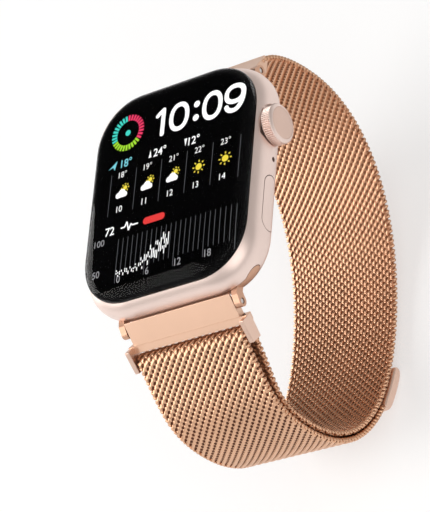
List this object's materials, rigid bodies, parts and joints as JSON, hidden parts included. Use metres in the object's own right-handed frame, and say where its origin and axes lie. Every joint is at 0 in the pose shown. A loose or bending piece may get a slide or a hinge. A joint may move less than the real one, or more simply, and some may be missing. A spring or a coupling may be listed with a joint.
{
  "type": "smartwatch",
  "caption": "Square smartwatch with a rounded metal case, curved cover glass, knurled crown and side key, closed by a woven metal mesh strap that folds through a buckle to a magnetic clasp.",
  "frame": {"origin": "centre of the flat on the back crystal, which rests on the wrist", "axes": "+Z out of the display, +Y towards 12 o'clock, +X towards the crown"},
  "size_m": [0.0368, 0.0658, 0.0535],
  "materials": {
    "anodised_pink_aluminium": "fine blasted anodised",
    "crown_cap_pink": "satin anodised",
    "rose_gold_steel": "satin rose gold coating",
    "rose_gold_mesh": "woven wire, rose gold coating",
    "plain_steel": "fine turned",
    "black_cover_glass": "polished, black behind",
    "back_crystal_glass": "polished, dark",
    "display_panel_black": "smooth black",
    "black_seal_rubber": "matt",
    "back_ceramic": "smooth, stands in for zirconia ceramic",
    "circuit_board_green": "solder mask",
    "copper_wire": "enamelled copper winding",
    "chip_black": "moulded",
    "battery_foil": "laminated pouch",
    "nickel_magnet": "nickel plated"
  },
  "bodies": {
    "case": {"case_housing": "anodised_pink_aluminium", "front_crystal": "black_cover_glass", "crystal_seal": "black_seal_rubber", "display_panel": "display_panel_black", "display_shield": "plain_steel", "logic_board": "circuit_board_green", "board_screw_1": "plain_steel", "board_screw_2": "plain_steel", "board_screw_3": "plain_steel", "board_screw_4": "plain_steel", "processor_package": "chip_black", "battery": "battery_foil", "haptic_motor": "plain_steel", "speaker_module": "chip_black", "microphone": "plain_steel", "side_button_switch": "chip_black", "crown_switch": "chip_black", "crown_encoder": "chip_black", "crown_bush": "plain_steel", "sensor_board": "circuit_board_green", "charging_coil": "copper_wire", "back_cover": "back_ceramic", "back_crystal": "back_crystal_glass", "back_seal": "black_seal_rubber"},
    "crown_slider": {"crown_push_plate": "plain_steel"},
    "crown_wheel": {"crown_shaft": "plain_steel", "crown_dial": "anodised_pink_aluminium", "crown_cap": "crown_cap_pink", "crown_seal_ring": "black_seal_rubber"},
    "side_key": {"side_button": "anodised_pink_aluminium"},
    "release_key_upper": {"release_button_upper": "anodised_pink_aluminium"},
    "release_key_lower": {"release_button_lower": "anodised_pink_aluminium"},
    "lug_upper_body": {"lug_upper": "rose_gold_steel", "lug_upper_pin": "plain_steel"},
    "lug_lower_body": {"lug_lower": "rose_gold_steel", "lug_lower_pin": "plain_steel"},
    "catch_upper": {"lug_upper_catch": "plain_steel"},
    "catch_lower": {"lug_lower_catch": "plain_steel"},
    "band_upper": {"band_end_clamp": "rose_gold_steel", "band_mesh_upper": "rose_gold_mesh"},
    "band_lower": {"band_mesh_lower": "rose_gold_mesh"},
    "buckle": {"buckle_frame": "rose_gold_steel", "buckle_bar": "plain_steel"},
    "clasp_tail": {"band_mesh_tail": "rose_gold_mesh", "clasp_housing": "rose_gold_mesh", "clasp_magnet": "nickel_magnet"}
  },
  "joints": [
    {"name": "crown_press", "type": "slide", "parent": "case", "child": "crown_slider", "axis": [-1, 0, 0], "range_m": [0, 0.0003], "stiffness_N_per_m": 1500, "springref_m": -0.0003},
    {"name": "crown_spin", "type": "hinge", "parent": "crown_slider", "child": "crown_wheel", "pos_m": [0.0193, 0.0079, 0.0049], "axis": [1, 0, 0], "continuous": true},
    {"name": "side_button_press", "type": "slide", "parent": "case", "child": "side_key", "axis": [-1, 0, 0], "range_m": [0, 0.0003], "stiffness_N_per_m": 1500, "springref_m": -0.0003},
    {"name": "release_upper_press", "type": "slide", "parent": "case", "child": "release_key_upper", "axis": [0, 0, 1], "range_m": [0, 0.0004], "stiffness_N_per_m": 1000, "springref_m": -0.0003},
    {"name": "release_lower_press", "type": "slide", "parent": "case", "child": "release_key_lower", "axis": [0, 0, 1], "range_m": [0, 0.0004], "stiffness_N_per_m": 1000, "springref_m": -0.0003},
    {"name": "lug_upper_slide", "type": "slide", "parent": "case", "child": "lug_upper_body", "axis": [1, 0, 0], "range_m": [-0.034, 0.034]},
    {"name": "lug_lower_slide", "type": "slide", "parent": "case", "child": "lug_lower_body", "axis": [1, 0, 0], "range_m": [-0.034, 0.034]},
    {"name": "catch_upper_lift", "type": "slide", "parent": "lug_upper_body", "child": "catch_upper", "axis": [0, 0, 1], "range_m": [0, 0.0003]},
    {"name": "catch_lower_lift", "type": "slide", "parent": "lug_lower_body", "child": "catch_lower", "axis": [0, 0, 1], "range_m": [0, 0.0003]},
    {"name": "band_swing", "type": "hinge", "parent": "lug_upper_body", "child": "band_upper", "pos_m": [0, 0.0215, 0.0026], "axis": [1, 0, 0], "range_deg": [-1.4, 1.4]},
    {"name": "band_flex", "type": "hinge", "parent": "band_upper", "child": "band_lower", "pos_m": [0, -0.0056, -0.04075], "axis": [1, 0, 0], "range_deg": [-1.06, 1.06]},
    {"name": "buckle_tilt", "type": "hinge", "parent": "lug_lower_body", "child": "buckle", "pos_m": [0, -0.0215, 0.0026], "axis": [1, 0, 0], "range_deg": [-11.6, 11.6]},
    {"name": "clasp_peel", "type": "hinge", "parent": "band_lower", "child": "clasp_tail", "pos_m": [0, -0.02684, -0.00104], "axis": [1, 0, 0], "range_deg": [-100, 0]}
  ],
  "couplings": [
    {"joint": "lug_lower_slide", "follows": "lug_upper_slide", "ratio": 1},
    {"joint": "catch_upper_lift", "follows": "release_upper_press", "ratio": 0.75},
    {"joint": "catch_lower_lift", "follows": "release_lower_press", "ratio": 0.75},
    {"joint": "band_flex", "follows": "band_swing", "ratio": -0.7524},
    {"joint": "buckle_tilt", "follows": "band_swing", "ratio": 8.271}
  ]
}
